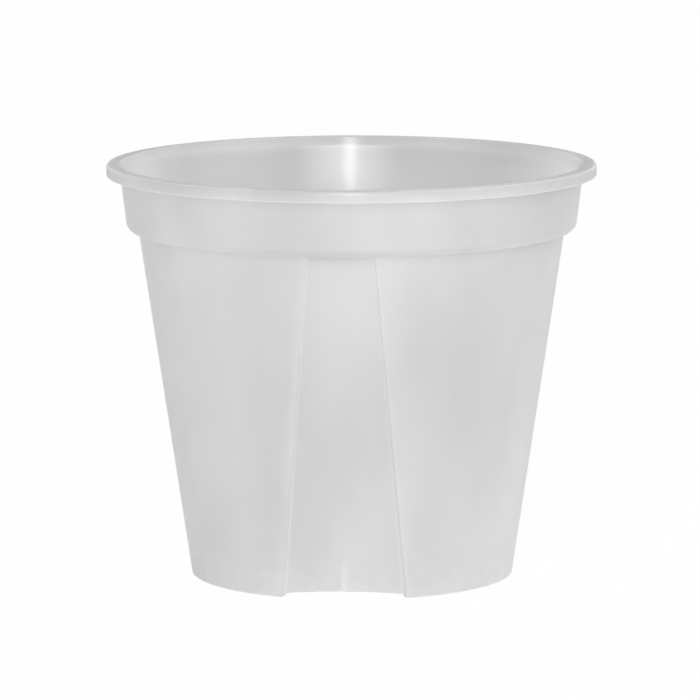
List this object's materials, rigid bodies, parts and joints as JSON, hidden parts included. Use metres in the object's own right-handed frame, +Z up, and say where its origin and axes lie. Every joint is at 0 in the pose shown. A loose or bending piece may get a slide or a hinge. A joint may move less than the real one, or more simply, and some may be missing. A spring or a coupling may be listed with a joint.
{
  "type": "orchid pot",
  "caption": "Tapered see-through orchid pot with a rolled rim, stepped collar, flat recessed side panels and drainage slots through the foot and domed floor.",
  "frame": {"origin": "on the pot's axis, on the surface that its foot stands on", "axes": "+Z up along the pot's axis, -Y the way one of the slotted panels faces"},
  "size_m": [0.12, 0.12, 0.1015],
  "materials": {
    "milky_plastic": "milky see-through polypropylene, satin outside and smoother inside"
  },
  "bodies": {
    "root": {"rim_lip": "milky_plastic", "collar_band": "milky_plastic", "shoulder_ledge": "milky_plastic", "wall_lobe_1": "milky_plastic", "wall_lobe_2": "milky_plastic", "wall_lobe_3": "milky_plastic", "slot_panel_1": "milky_plastic", "slot_panel_2": "milky_plastic", "slot_panel_3": "milky_plastic", "base_dish": "milky_plastic"}
  },
  "joints": []
}
